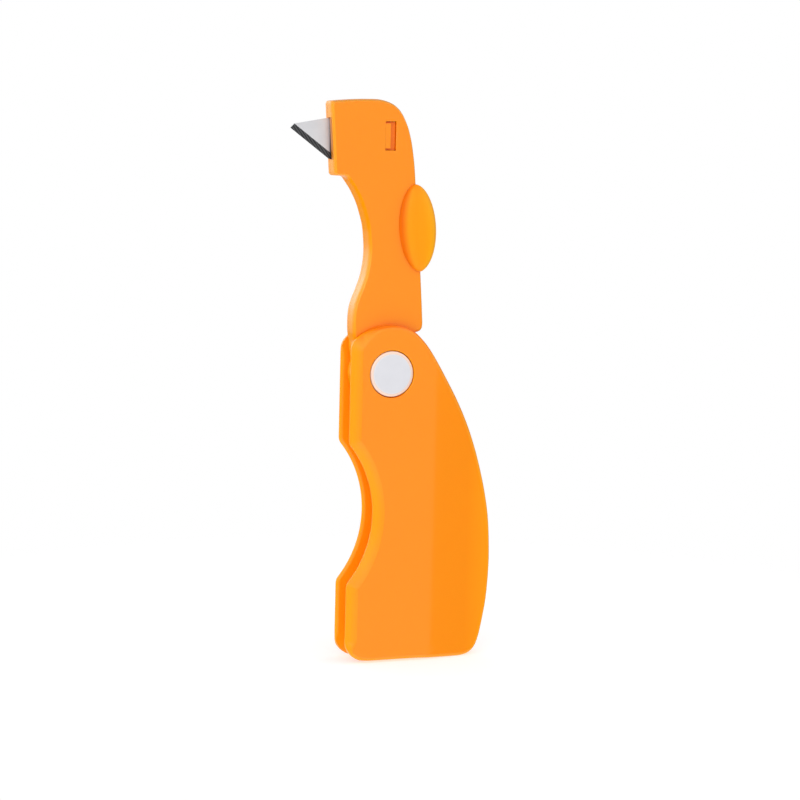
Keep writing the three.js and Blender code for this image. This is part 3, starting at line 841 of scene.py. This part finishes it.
def washer(name, side):
    y0, y1 = outward(side, 2.55, 3.2)
    inner, outer = 3.62, 6.0
    corners = [(inner, y0, True), (outer, y0, True), (outer, y1, True), (inner, y1, True)]
    return finish(lathe(name, rounded(corners, 0.1, 3)))


def detent_spring(name):
    """A leaf whose nose points at the tang, with an eye on the anchor pin and a tail below it."""
    half_t, half_w = 0.4, 2.5
    nose = polar(10.75 + half_t, DETENT_DEG)
    path = catmull([
        (12.6, -1.6), (11.3, -2.7), nose, (11.4, -7.0), (12.9, -10.2), (14.4, -14.6),
        (15.3, -19.0), (15.6, -23.5), (15.45, -27.4)], 0.3)
    normals = left_normals(np.gradient(path, axis=0))
    strip = np.vstack([path + normals * half_t, (path - normals * half_t)[::-1]])
    leaf = prism(strip, -half_w, half_w, name)
    x, z = ANCHOR_PIN[:2]
    join(leaf, bar(x, z, 2.15, -half_w, half_w, n=64))
    tail = [(17.6, -30.5), (18.4, -30.2), (19.7, -40.6), (18.9, -40.7)]
    join(leaf, prism(tail, -half_w, half_w))
    cut(leaf, bar(x, z, 1.32, -6, 6, n=48))
    soft_edges(leaf, width=0.1, segments=2, min_deg=60)
    return finish(leaf)


# ------------------------------------------------------------------ shader graphs (metres)
class Graph:
    """A cleared node tree and short ways to add to it."""

    def __init__(self, owner):
        owner.use_nodes = True
        self.tree = owner.node_tree
        self.tree.nodes.clear()

    def node(self, kind, **props):
        node = self.tree.nodes.new(kind)
        for key, value in props.items():
            setattr(node, key, value)
        return node

    def feed(self, socket, value):
        """Gives a socket a number, a colour or a link."""
        if isinstance(value, (int, float)):
            socket.default_value = value
        elif isinstance(value, tuple):
            socket.default_value = (*value, 1)
        else:
            self.tree.links.new(value, socket)

    def math(self, operation, first, second=None):
        node = self.node("ShaderNodeMath", operation=operation)
        self.feed(node.inputs[0], first)
        if second is not None:
            self.feed(node.inputs[1], second)
        return node.outputs[0]

    def split(self, vector):
        node = self.node("ShaderNodeSeparateXYZ")
        self.feed(node.inputs[0], vector)
        return node.outputs

    def length(self, vector):
        node = self.node("ShaderNodeVectorMath", operation="LENGTH")
        self.feed(node.inputs[0], vector)
        return node.outputs["Value"]

    def ramp(self, value, span, to=(0.0, 1.0), **props):
        """Maps the span onto the range `to`, clamped."""
        node = self.node("ShaderNodeMapRange", **props)
        for key, number in zip(("From Min", "From Max", "To Min", "To Max"), (*span, *to)):
            node.inputs[key].default_value = number
        self.feed(node.inputs["Value"], value)
        return node.outputs[0]

    def mix_shader(self, fac, first, second):
        node = self.node("ShaderNodeMixShader")
        for socket, value in zip(node.inputs, (fac, first, second)):
            self.feed(socket, value)
        return node.outputs[0]


class Surface(Graph):
    """A material around one Principled shader."""

    def __init__(self, name):
        self.mat = bpy.data.materials.new(name)
        super().__init__(self.mat)
        out = self.node("ShaderNodeOutputMaterial")
        self.bsdf = self.node("ShaderNodeBsdfPrincipled")
        self.feed(out.inputs[0], self.bsdf.outputs[0])
        coords = self.node("ShaderNodeTexCoord")
        self.co = coords.outputs["Object"]
        self.facing = coords.outputs["Normal"]

    def set(self, **values):
        for key, value in values.items():
            self.feed(self.bsdf.inputs[key.replace("_", " ")], value)

    def noise(self, scale, detail=4.0, rough=0.5, stretch=None):
        node = self.node("ShaderNodeTexNoise")
        node.inputs["Scale"].default_value = scale
        node.inputs["Detail"].default_value = detail
        node.inputs["Roughness"].default_value = rough
        source = self.co
        if stretch:
            mapping = self.node("ShaderNodeMapping")
            mapping.inputs["Scale"].default_value = stretch
            self.feed(mapping.inputs["Vector"], self.co)
            source = mapping.outputs[0]
        self.feed(node.inputs["Vector"], source)
        return node.outputs["Fac"]

    def mix(self, fac, first, second):
        node = self.node("ShaderNodeMix", data_type="RGBA")
        for k, value in ((0, fac), (6, first), (7, second)):
            self.feed(node.inputs[k], value)
        return node.outputs[2]

    def bump(self, height, strength, distance, edge):
        """Bump over edges rounded by the radius `edge`, in millimetres."""
        node = self.node("ShaderNodeBump")
        node.inputs["Strength"].default_value = strength
        node.inputs["Distance"].default_value = distance
        self.feed(node.inputs["Height"], height)
        bevel = self.node("ShaderNodeBevel", samples=6)
        bevel.inputs["Radius"].default_value = edge * MM
        self.feed(node.inputs["Normal"], bevel.outputs[0])
        return node.outputs[0]

    def times(self, total, *factors):
        for factor in factors:
            total = self.math("MULTIPLY", total, factor)
        return total

    def turned(self, axis, start, full):
        """0 to 1 as the surface's normal along an axis goes from start to full."""
        return self.ramp(self.split(self.facing)[axis], span=(start, full))

    def side_walls(self):
        """1 on walls that turn away from the flat faces, 0 on the faces."""
        across = self.math("ABSOLUTE", self.split(self.facing)["Y"])
        return self.ramp(across, span=(0.88, 0.988), to=(1.0, 0.0))

    def hollow(self):
        """1 deep in a corner, 0 in the open."""
        node = self.node("ShaderNodeAmbientOcclusion", samples=6)
        node.inputs["Distance"].default_value = 0.0018
        return self.ramp(node.outputs["AO"], span=(0.3, 0.9), to=(1.0, 0.0))


# ------------------------------------------------------------------ plastics
ORANGE = (0.965, 0.272, 0.0035)
ORANGE_DEEP = (0.90, 0.215, 0.002)
SHINE = 0.5  # usual specular level
# factors on a colour's channels, for painted shade: the first in corners and on walls that face up,
# the second along the arm's top and the back edges
SHADE_TINT = (0.93, 0.62, 0.5)
EDGE_SHADE_TINT = (0.76, 0.95, 1.0)


def scaled(color, *by):
    """A colour times three factors, or times one."""
    return tuple(c * k for c, k in zip(color, by if len(by) == 3 else by * 3))


def plastic(name, color, deep, rough=0.17, edge=0.16, shine=SHINE, tint=None):
    """Moulded plastic.  tint(surface, base, color) returns a new base, and a link for the
    specular level or None."""
    m = Surface(name)
    broad = m.noise(scale=38.0, detail=3.0)
    fine = m.noise(scale=1100.0, rough=0.55)
    base = m.mix(m.ramp(broad, span=(0.35, 0.68)), color, scaled(color, 0.985))
    base = m.mix(m.ramp(fine, span=(0.3, 0.7), to=(0.0, 0.06)), base, deep)
    m.set(Specular_IOR_Level=shine)
    if tint:
        base, level = tint(m, base, color)
        if level is not None:
            m.set(Specular_IOR_Level=level)
    m.set(Base_Color=base, IOR=1.49, Subsurface_Weight=0.1, Subsurface_Scale=0.0012)
    m.set(Roughness=m.ramp(fine, span=(0.3, 0.7), to=(rough - 0.015, rough + 0.02)))
    m.bsdf.inputs["Subsurface Radius"].default_value = (1.0, 0.5, 0.12)
    m.set(Normal=m.bump(broad, strength=0.02, distance=0.0002, edge=edge))
    return m.mat


def paint_rim_light_and_shade(m, base, color, walls, rim_light_green, top):
    """Rims yellower as painted light; those that face up take the top's factors and those at the
    back turn olive, both as painted shade.
    """
    base = m.mix(m.times(walls, 0.9), base, scaled(color, 1.0, rim_light_green, 0.5))
    upward = m.turned("Z", start=0.2, full=0.6)
    not_front = m.turned("X", start=-0.6, full=-0.3)
    base = m.mix(m.times(upward, not_front, 0.9), base, scaled(color, *top))
    backward = m.turned("X", start=0.5, full=0.88)
    return m.mix(m.times(backward, 0.8), base, scaled(color, *EDGE_SHADE_TINT))


def paint_corner_shade(m, base, color, amount):
    # painted shade: darker deep in corners and crevices, from the occlusion mask
    return m.mix(m.times(m.hollow(), amount), base, scaled(color, *SHADE_TINT))


def tint_handle(m, base, color):
    walls = m.side_walls()
    base = paint_rim_light_and_shade(m, base, color, walls, rim_light_green=1.24, top=SHADE_TINT)
    # painted glow: the slot's inner faces give off a little light, standing in for light that comes
    # through the thin walls
    off_middle = m.math("ABSOLUTE", m.math("SUBTRACT", m.split(m.co)["Y"], MID * MM))
    m.set(Emission_Color=m.mix(0.7, base, (0.85, 0.5, 0.01)),
          Emission_Strength=m.ramp(off_middle, span=(0.0034, 0.0042), to=(0.11, 0.0)))
    return base, m.ramp(walls, span=(0.0, 1.0), to=(SHINE, 0.2))


def tint_arm(m, base, color):
    walls = m.side_walls()
    base = paint_rim_light_and_shade(m, base, color, walls, rim_light_green=1.3, top=EDGE_SHADE_TINT)
    # painted shade: walls below the head that face down are a little deeper in colour, and duller
    below_head = m.ramp(m.split(m.co)["Z"], span=(0.0515, 0.053), to=(1.0, 0.0))
    down = m.times(walls, m.turned("Z", start=0.03, full=-0.14), below_head)
    base = m.mix(m.times(down, 0.85), base, scaled(color, 0.88, 1.02, 0.5))
    base = paint_corner_shade(m, base, color, amount=1.0)
    return base, m.ramp(down, span=(0.0, 1.0), to=(SHINE, 0.03))


def paint_pad_light_and_shade(m, base, color):
    """Lighter where it faces back as painted light; darker where it faces front and a little richer
    on top as painted shade.
    """
    backward = m.turned("X", start=-0.05, full=0.4)
    base = m.mix(m.times(backward, 0.8), base, scaled(color, 1.0, 1.38, 1.5))
    forward = m.turned("X", start=-0.42, full=-0.8)
    base = m.mix(m.times(forward, 0.9), base, scaled(color, 0.8, 0.46, 0.3))
    upward = m.turned("Z", start=0.2, full=0.8)
    base = m.mix(m.times(upward, 0.315), base, scaled(color, *SHADE_TINT))
    return paint_corner_shade(m, base, color, amount=0.9), None


def paint_recess_shade(m, base, color):
    """Painted shade: darker on the part that lies deeper behind the near face."""
    sunk = m.ramp(m.split(m.co)["Y"], span=(0.0029, 0.0033))
    return m.mix(sunk, base, scaled(color, 0.88, 0.66, 0.4)), None


# ------------------------------------------------------------------ metals
def steel(name, color, rough, stretch, scale):
    """Brushed steel; the stretch scales the noise along each axis."""
    m = Surface(name)
    lines = m.noise(scale=scale, detail=3.0, rough=0.55, stretch=stretch)
    cloud = m.noise(scale=160.0)
    base = m.mix(m.ramp(cloud, span=(0.3, 0.7)), color, scaled(color, 0.88))
    base = m.mix(m.ramp(lines, span=(0.35, 0.7), to=(0.0, 0.35)), base, scaled(color, 0.8))
    m.set(Base_Color=base, Metallic=1.0,
          Roughness=m.ramp(lines, span=(0.3, 0.7), to=(rough - 0.05, rough + 0.07)),
          Normal=m.bump(lines, strength=0.06, distance=0.00004, edge=0.06))
    return m.mat


def cap_material():
    """Satin lilac-grey face inside a polished rim, whose warmer colour is a painted reflection of
    the orange plastic around it.
    """
    m = Surface("cap_satin")
    place = m.split(m.co)
    flat = m.node("ShaderNodeCombineXYZ")
    m.feed(flat.inputs[0], place["X"])
    m.feed(flat.inputs[2], place["Z"])
    rim = m.ramp(m.length(flat.outputs[0]), span=(0.00522, 0.00545))
    fine = m.noise(scale=2600.0, detail=3.0)
    cloud = m.noise(scale=240.0, detail=3.0)
    face = m.mix(m.ramp(cloud, span=(0.3, 0.7)), (0.735, 0.735, 0.775), (0.71, 0.71, 0.75))
    rough = m.node("ShaderNodeMix", data_type="FLOAT")
    m.feed(rough.inputs[0], rim)
    m.feed(rough.inputs[2], m.ramp(fine, span=(0.3, 0.7), to=(0.34, 0.42)))
    rough.inputs[3].default_value = 0.18  # on the rim
    # the rim's warm colour is a painted reflection of the orange plastic
    m.set(Base_Color=m.mix(rim, face, (0.93, 0.7, 0.58)), Metallic=0.12,
          Roughness=rough.outputs[0],
          Normal=m.bump(fine, strength=0.03, distance=0.00003, edge=0.05))
    return m.mat


def blade_body_material():
    m = Surface("blade_ground")
    lines = m.noise(scale=2600.0, detail=3.0, rough=0.6, stretch=(0.05, 1, 1))
    cloud = m.noise(scale=220.0)
    base = m.mix(m.ramp(cloud, span=(0.3, 0.7)), (0.77, 0.775, 0.8), (0.7, 0.705, 0.73))
    # painted shade where the blade runs into the carrier's groove
    groove_shade = m.ramp(m.split(m.co)["X"], span=(-0.01735, -0.01675))
    m.set(Base_Color=m.mix(groove_shade, base, (0.09, 0.035, 0.02)),
          Metallic=m.ramp(groove_shade, span=(0.0, 1.0), to=(0.55, 0.1)),
          Roughness=m.ramp(lines, span=(0.3, 0.7), to=(0.36, 0.5)),
          Normal=m.bump(lines, strength=0.05, distance=0.00002, edge=0.03))
    return m.mat


def blade_bevel_material():
    """Dark steel with grinding marks across the bevel, square to the cutting edge."""
    m = Surface("blade_bevel_ground")
    mapping = m.node("ShaderNodeMapping")
    mapping.inputs["Rotation"].default_value = (0, math.radians(36.0), 0)
    m.feed(mapping.inputs["Vector"], m.co)
    wave = m.node("ShaderNodeTexWave", wave_type="BANDS", bands_direction="X")
    settings = {"Scale": 520.0, "Distortion": 1.6, "Detail": 3.0, "Detail Scale": 2.2}
    for key, value in settings.items():
        wave.inputs[key].default_value = value
    m.feed(wave.inputs["Vector"], mapping.outputs[0])
    marks = wave.outputs["Fac"]
    dark, pale = (0.035, 0.036, 0.038), (0.115, 0.116, 0.12)
    m.set(Base_Color=m.mix(m.ramp(marks, span=(0.15, 0.9)), dark, pale),
          Metallic=0.85, Roughness=0.42,
          Normal=m.bump(marks, strength=0.25, distance=0.00003, edge=0.03))
    return m.mat


mat_handle = plastic("orange_handle", ORANGE, ORANGE_DEEP, tint=tint_handle)
mat_arm = plastic("orange_arm", ORANGE, ORANGE_DEEP, tint=tint_arm)
mat_pad = plastic("pad_moulded", (0.985, 0.31, 0.0035), (0.93, 0.25, 0.002),
                  rough=0.42, edge=0.2, shine=0.14, tint=paint_pad_light_and_shade)
# painted shade: the holder is the orange plastic, coloured dark brown as it looks in the shade of
# the slot
mat_holder = plastic("holder_shaded_orange", (0.66, 0.2, 0.012), (0.55, 0.16, 0.008),
                     rough=0.3, edge=0.1)
mat_finger = plastic("finger_moulded", ORANGE, ORANGE_DEEP, rough=0.2, edge=0.05,
                     tint=paint_recess_shade)
mat_cap = cap_material()
mat_washer = plastic("washer_acetal", (0.8, 0.79, 0.74), (0.7, 0.69, 0.64),
                     rough=0.42, edge=0.06)
mat_fastener = steel("fastener_zinc", (0.66, 0.67, 0.69), rough=0.28, stretch=(1, 1, 1),
                     scale=1900.0)
mat_spring = steel("spring_tempered", (0.36, 0.37, 0.4), rough=0.3, stretch=(1, 1, 0.06),
                   scale=1500.0)
mat_blade = blade_body_material()
mat_bevel = blade_bevel_material()


# ------------------------------------------------------------------ the tool
def dress(piece, mat, body, node):
    """Gives a piece its material, the body it rides on and the CAD node it replaces."""
    piece.data.materials.clear()
    piece.data.materials.append(mat)
    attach(piece, body)
    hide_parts(node)
    return piece


SIDES = ((-1, "near"), (1, "far"))

for side, where in SIDES:
    dress(handle_shell("handle_scale_" + where, side), mat_handle, "handle",
          "handle_shell_" + where)
for side, where in SIDES:
    dress(arm_shell("arm_half_" + where, side), mat_arm, "arm",
          "arm_shell_" + where)
dress(thumb_pad("thumb_rest"), mat_pad, "arm", "thumb_pad")
dress(pivot_barrel("pivot_cap_near"), mat_cap, "handle", "pivot_barrel")
dress(pivot_screw("pivot_cap_far"), mat_cap, "handle", "pivot_screw")
for side, where in SIDES:
    dress(washer("washer_" + where, side), mat_washer, "handle",
          "pivot_washer_" + where)
for node, x, z in HANDLE_SCREWS:
    head_y = HANDLE_HALF - (x + 1.2 - BEVEL_X) * BEVEL_TAN - 0.35
    screw = pan_screw(node + "_zinc", x, z, head_y, head_r=2.6, head_t=1.7, shank_r=1.2,
                      tip_y=-2.8, slot=0.42)
    dress(screw, mat_fastener, "handle", node)
for node, x, z in ARM_SCREWS:
    screw = pan_screw(node + "_zinc", x, z, head_y=2.85, head_r=1.95, head_t=1.05, shank_r=0.78,
                      tip_y=-1.8, slot=0.32)
    dress(screw, mat_fastener, "arm", node)
dress(pin("stop_pin_ground", *STOP_PIN), mat_fastener, "handle",
      "fold_stop_pin")
dress(pin("anchor_pin_ground", *ANCHOR_PIN), mat_fastener, "handle",
      "spring_anchor_pin")
dress(detent_spring("detent_leaf"), mat_spring, "handle", "detent_spring")
dress(blade_holder("blade_carrier"), mat_holder, "arm", "blade_holder")
dress(latch("latch_tongue"), mat_finger, "latch", "latch_finger")
strip = dress(blade("blade_ground_strip"), mat_blade, "arm", "blade")
strip.data.materials.append(mat_bevel)
for face in strip.data.polygons:
    ground = 0.5 < abs(face.normal.y) < 0.9995
    # small faces at the front that look down
    land = (abs(face.normal.y) < 0.2 and face.normal.z < 0
            and face.center.x < -0.0180 and face.area < 4e-6)
    if ground or land:
        face.material_index = 1


# ------------------------------------------------------------------ floor
def floor_material():
    """Pale and slightly glowing, fading to nothing towards its rim."""
    mat = bpy.data.materials.new("pale_floor")
    g = Graph(mat)
    diffuse = g.node("ShaderNodeBsdfDiffuse")
    g.feed(diffuse.inputs[0], (0.62, 0.62, 0.625))
    glow = g.node("ShaderNodeEmission")
    glow.inputs["Strength"].default_value = 0.5
    both = g.node("ShaderNodeAddShader")
    g.feed(both.inputs[0], diffuse.outputs[0])
    g.feed(both.inputs[1], glow.outputs[0])
    clear = g.node("ShaderNodeBsdfTransparent")
    from_middle = g.length(g.node("ShaderNodeTexCoord").outputs["Object"])
    fade = g.ramp(from_middle, span=(0.06, 0.20), interpolation_type="SMOOTHSTEP")
    out = g.node("ShaderNodeOutputMaterial")
    g.feed(out.inputs[0], g.mix_shader(fade, both.outputs[0], clear.outputs[0]))
    return mat


def floor():
    bm = bmesh.new()
    bmesh.ops.create_circle(bm, cap_ends=True, cap_tris=False, segments=128, radius=0.24)
    me = bpy.data.meshes.new("floor")
    bm.to_mesh(me)
    bm.free()
    disc = bpy.data.objects.new("floor", me)
    disc.location = (0.006, MID * MM, FOOT_Z * MM - 0.00002)
    bpy.context.scene.collection.objects.link(disc)
    me.materials.append(floor_material())
    disc.visible_glossy = False
    disc.visible_diffuse = False
    disc.visible_shadow = False


floor()

# ------------------------------------------------------------------ light
# The studio around the tool: degrees above the horizon, then brightness at even compass steps
# (0 = +X, turning towards +Y), read between entries.
STUDIO = [
    (-90, [1.71]),
    (-50, [1.2, 1.32, 1.53, 1.41, 1.02, 2.08, 2.19, 1.65]),
    (-22, [0.28, 0.16, 0.74, 1.18, 0.99, 0.56, 0.81, 0.81,
           0.65, 1.03, 1.49, 1.43, 0.97, 0.86, 0.0, 0.37]),
    (-5, [0.55, 0.45, 0.4, 0.4, 0.5, 0.75, 0.91, 0.87, 1.11, 1.13, 1.07, 0.94,
          0.8, 0.81, 0.95, 1.03, 0.9, 0.62, 0.44, 0.94, 0.64, 0.0, 0.39, 0.56]),
    (12, [1.2, 0.6, 0.4, 0.7, 1.9, 3.18, 2.52, 1.91,
          1.54, 2.01, 2.57, 2.15, 1.08, 0.78, 1.31, 1.6]),
    (35, [1.3, 0.7, 0.6, 1.1, 1.45, 1.29, 1.33, 2.76, 3.22, 1.99, 1.8, 1.94]),
    (62, [1.31, 1.26, 0.65, 0.03, 0.23, 1.31, 1.0, 0.73]),
    (90, [0.19]),
]
RAMP_SCALE = 10  # brightness is divided by this inside the colour ramps


def compass_brightness(g, turn, values):
    ramp = g.node("ShaderNodeValToRGB")
    g.feed(ramp.inputs[0], turn)
    stops = ramp.color_ramp.elements
    loop = values + values[:1]
    while len(stops) < len(loop):
        stops.new(0.5)
    for k in range(len(loop)):
        stops[k].position = k / len(values)
    for k, value in enumerate(loop):
        grey = value / RAMP_SCALE
        stops[k].color = (grey, grey, grey, 1)
    return g.math("MULTIPLY", ramp.outputs["Color"], float(RAMP_SCALE))


def studio_world():
    """The studio's light on the tool, and plain white to the camera."""
    world = bpy.data.worlds.new("studio")
    bpy.context.scene.world = world
    g = Graph(world)
    way = g.split(g.node("ShaderNodeTexCoord").outputs["Generated"])
    turn = g.math("DIVIDE", g.math("ARCTAN2", way["Y"], way["X"]), 2 * math.pi)
    turn = g.math("FRACT", g.math("ADD", turn, 1.0), 0.0)
    height = g.math("MULTIPLY", g.math("ARCSINE", way["Z"], 0.0), 180 / math.pi)
    total = None
    for k, (level, values) in enumerate(STUDIO):
        below = STUDIO[k - 1][0] if k else level - 90
        above = STUDIO[k + 1][0] if k + 1 < len(STUDIO) else level + 90
        rise = g.math("DIVIDE", g.math("SUBTRACT", height, float(below)), float(level - below))
        fall = g.math("DIVIDE", g.math("SUBTRACT", float(above), height), float(above - level))
        share = g.math("MAXIMUM", g.math("MINIMUM", rise, fall), 0.0)
        if len(values) > 1:
            bright = g.math("MULTIPLY", compass_brightness(g, turn, values), share)
        else:
            bright = g.math("MULTIPLY", share, values[0])
        total = bright if total is None else g.math("ADD", total, bright)
    lit = g.node("ShaderNodeBackground")
    g.feed(lit.inputs["Strength"], total)
    seen = g.node("ShaderNodeBackground")
    g.feed(seen.inputs["Color"], (1, 1, 1))
    to_camera = g.node("ShaderNodeLightPath").outputs["Is Camera Ray"]
    out = g.node("ShaderNodeOutputWorld")
    g.feed(out.inputs[0], g.mix_shader(to_camera, lit.outputs[0], seen.outputs[0]))
    world.cycles.sampling_method = "MANUAL"
    world.cycles.sample_map_resolution = 512


studio_world()

# ------------------------------------------------------------------ camera
# It stands to the near side, turned 22 degrees towards the front, and looks a little down.
CAMERA_AT = Vector((-222.045, -553.564 + MID, 61.507)) * MM
CAMERA_FORWARD = Vector((0.37656623, 0.91923208, -0.11493587))
CAMERA_RIGHT = Vector((0.92615604, -0.37634888, 0.02442338))
CAMERA_UP = Vector((0.02080523, 0.11564557, 0.99307263))


def camera():
    data = bpy.data.cameras.new("camera")
    data.sensor_fit = "HORIZONTAL"
    data.sensor_width = 36.0
    data.lens = 100.0809
    data.clip_start = 0.01
    data.clip_end = 20.0
    cam = bpy.data.objects.new("camera", data)
    pose = Matrix((CAMERA_RIGHT, CAMERA_UP, -CAMERA_FORWARD)).transposed().to_4x4()
    pose.translation = CAMERA_AT
    cam.matrix_world = pose
    bpy.context.scene.collection.objects.link(cam)
    bpy.context.scene.camera = cam


camera()

view = bpy.context.scene.view_settings
view.view_transform = "Standard"
view.look = "None"
view.exposure = 0.0
view.gamma = 1.0

bpy.context.view_layer.update()
